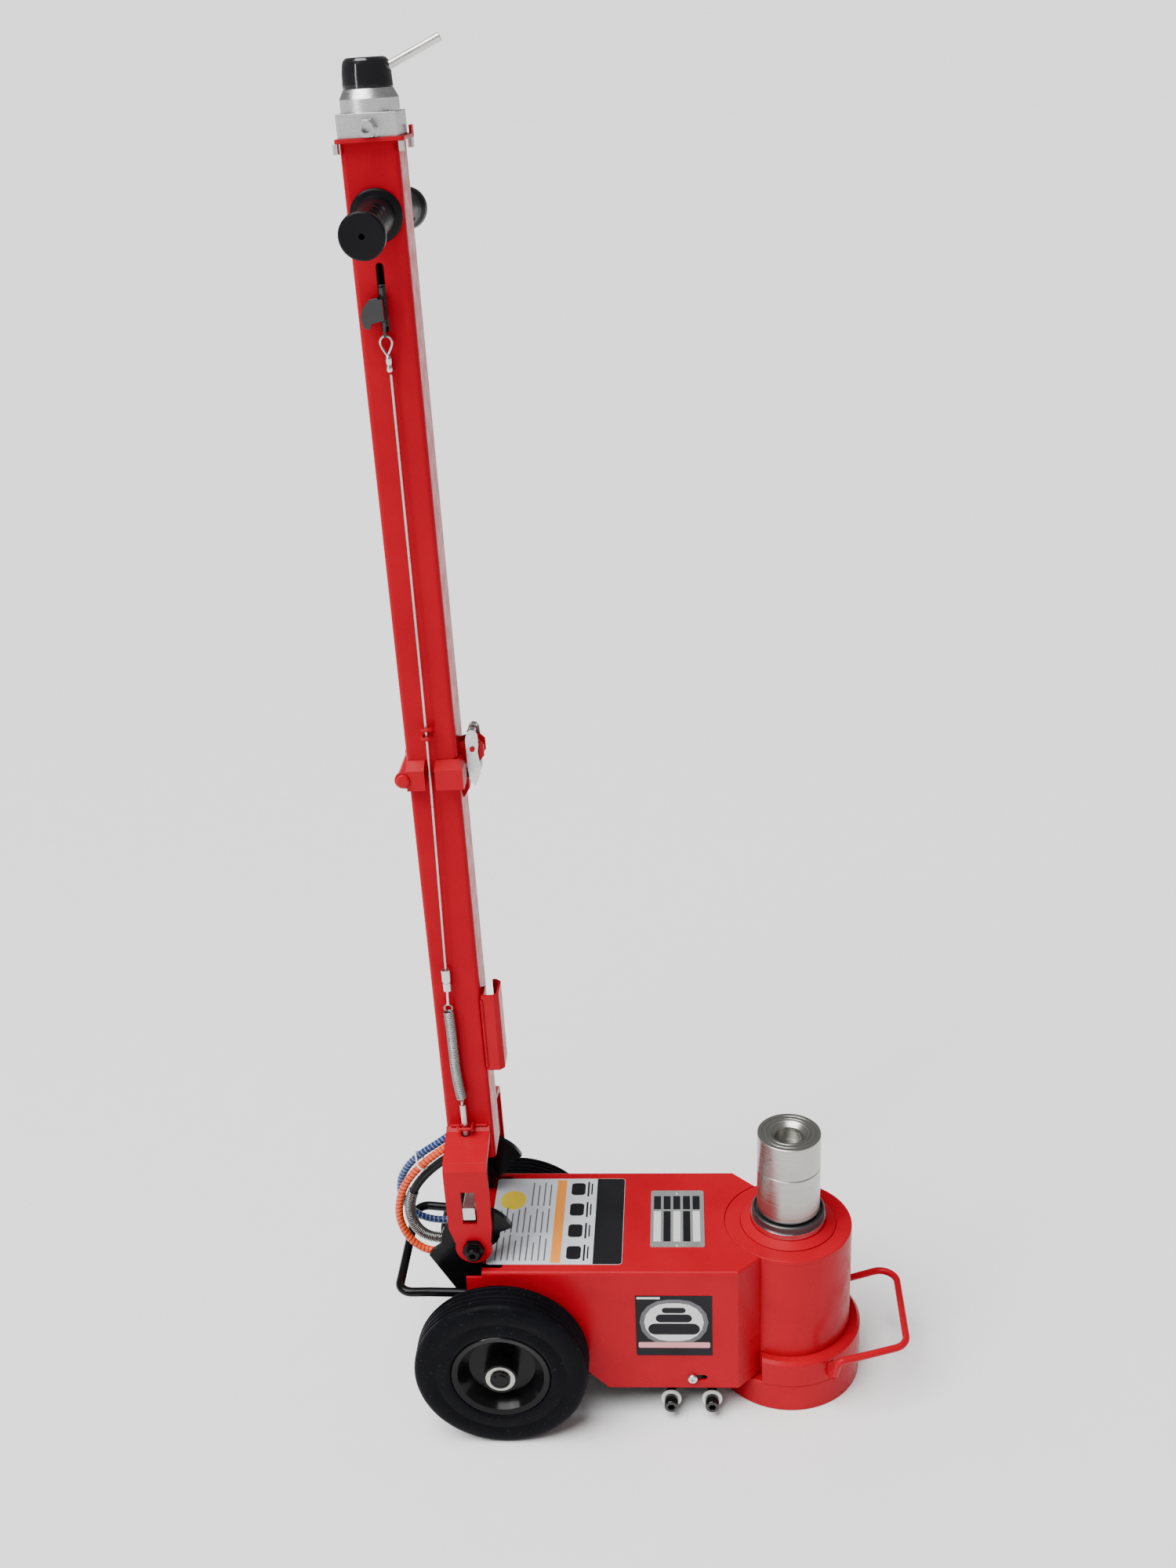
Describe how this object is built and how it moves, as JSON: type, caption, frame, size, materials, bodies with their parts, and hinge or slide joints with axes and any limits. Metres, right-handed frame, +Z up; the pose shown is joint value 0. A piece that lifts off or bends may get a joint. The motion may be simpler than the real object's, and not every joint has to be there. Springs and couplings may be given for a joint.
{
  "type": "air hydraulic truck jack",
  "caption": "Two-stage air-hydraulic axle jack on two wheels: squat ram column, sheet-steel body, and a tall folding handle with cross grips and a release cable.",
  "frame": {"origin": "ram axis at floor level, centre of the foot disc's underside", "axes": "+Z up along the rams; +X from the wheels towards the ram end; +Y to the jack's left when facing +X"},
  "size_m": [0.6828, 0.332, 1.6874],
  "materials": {
    "red_paint": "gloss",
    "black_paint": "gloss",
    "tyre_rubber": "matt, moulded",
    "zinc": "zinc plated",
    "machined": "turned",
    "chrome": "polished rod",
    "dark_steel": "blackened",
    "aluminium": "machined",
    "cast": "as cast",
    "black_plastic": "satin",
    "gloss_plastic": "gloss",
    "white_plastic": "satin",
    "label": "printed film",
    "dark_label": "printed film",
    "plate": "printed",
    "orange": "gloss",
    "blue": "gloss",
    "hose_rubber": "satin",
    "cable": "stranded",
    "spring_steel": "wire"
  },
  "bodies": {
    "chassis": {"base_plate": "red_paint", "base_collar": "red_paint", "oil_tank": "red_paint", "tank_top_ring": "red_paint", "gland_nut": "red_paint", "pressure_cylinder": "machined", "body_cover": "red_paint", "cover_screws": "zinc", "instruction_plate": "label", "rating_plate": "plate", "side_label": "dark_label", "frame_plate_left": "black_paint", "frame_plate_right": "black_paint", "rear_cross_plate": "black_paint", "hose_fittings": "zinc", "axle": "black_paint", "pivot_bolts": "black_paint", "rear_handle": "black_paint", "front_handle": "red_paint", "valve_block": "cast", "valve_caps": "gloss_plastic", "valve_washers": "white_plastic", "air_motor": "cast", "orange_hose": "orange", "blue_hose": "blue", "black_hose": "hose_rubber"},
    "stage_one": {"stage_one_ram": "chrome", "stage_one_ring": "dark_steel"},
    "stage_two": {"stage_two_ram": "chrome"},
    "lower_adapter": {"lower_adapter": "machined"},
    "upper_adapter": {"upper_adapter": "machined"},
    "wheel_left": {"tyre_left": "tyre_rubber", "rim_left": "black_paint", "bearing_left": "machined"},
    "wheel_right": {"tyre_right": "tyre_rubber", "rim_right": "black_paint", "bearing_right": "machined"},
    "lower_handle": {"lower_tube": "red_paint", "yoke_left": "red_paint", "yoke_right": "red_paint", "accessory_clip": "red_paint", "release_cable": "cable"},
    "lock": {"lock_bar": "machined", "pull_rod": "zinc", "release_spring": "spring_steel", "cable_adjuster": "zinc"},
    "upper_handle": {"upper_tube": "red_paint", "hinge_cuff": "red_paint", "fold_pin": "red_paint", "grip_left": "black_plastic", "grip_right": "black_plastic", "head_flange": "red_paint", "valve_head": "aluminium", "head_screws": "zinc", "air_inlet": "zinc"},
    "latch": {"latch_lever": "zinc"},
    "release": {"release_lever": "gloss_plastic", "cable_eye": "cable"},
    "control": {"control_knob": "gloss_plastic", "control_lever": "spring_steel"}
  },
  "joints": [
    {"name": "handle_tilt", "type": "hinge", "parent": "chassis", "child": "lower_handle", "pos_m": [-0.407, 0, 0.264], "axis": [0, -1, 0], "range_deg": [0, 82], "deforming": ["orange_hose", "blue_hose", "black_hose"]},
    {"name": "lock_lift", "type": "slide", "parent": "lower_handle", "child": "lock", "axis": [-0.0201, 0, 0.9998], "range_m": [0, 0.02], "stiffness_N_per_m": 400, "springref_m": -0.03, "deforming": ["release_cable"]},
    {"name": "handle_fold", "type": "hinge", "parent": "lower_handle", "child": "upper_handle", "pos_m": [-0.45326, 0, 0.8992], "axis": [0, -1, 0], "range_deg": [0, 150], "deforming": ["release_cable"]},
    {"name": "latch_swing", "type": "hinge", "parent": "upper_handle", "child": "latch", "pos_m": [-0.37426, 0, 0.92479], "axis": [0, -1, 0], "range_deg": [0, 10], "stiffness_Nm_per_rad": 0.5, "springref_deg": -17.19},
    {"name": "release_pull", "type": "slide", "parent": "upper_handle", "child": "release", "axis": [-0.0201, 0, 0.9998], "range_m": [0, 0.02], "deforming": ["release_cable"]},
    {"name": "control_turn", "type": "hinge", "parent": "upper_handle", "child": "control", "pos_m": [-0.4344, 0, 1.65373], "axis": [-0.0201, 0, 0.9998], "range_deg": [-35, 35], "stiffness_Nm_per_rad": 0.5},
    {"name": "wheel_left_spin", "type": "hinge", "parent": "chassis", "child": "wheel_left", "pos_m": [-0.3752, -0.135, 0.1125], "axis": [0, 1, 0], "continuous": true},
    {"name": "wheel_right_spin", "type": "hinge", "parent": "chassis", "child": "wheel_right", "pos_m": [-0.3752, 0.135, 0.1125], "axis": [0, 1, 0], "continuous": true},
    {"name": "stage_one_lift", "type": "slide", "parent": "chassis", "child": "stage_one", "axis": [0, 0, 1], "range_m": [0, 0.125]},
    {"name": "stage_two_lift", "type": "slide", "parent": "stage_one", "child": "stage_two", "axis": [0, 0, 1], "range_m": [0, 0.115]},
    {"name": "lower_adapter_lift", "type": "slide", "parent": "stage_two", "child": "lower_adapter", "axis": [0, 0, 1], "range_m": [0, 0.03]},
    {"name": "upper_adapter_lift", "type": "slide", "parent": "lower_adapter", "child": "upper_adapter", "axis": [0, 0, 1], "range_m": [0, 0.03]}
  ],
  "couplings": [
    {"joint": "release_pull", "follows": "lock_lift", "ratio": 1}
  ]
}
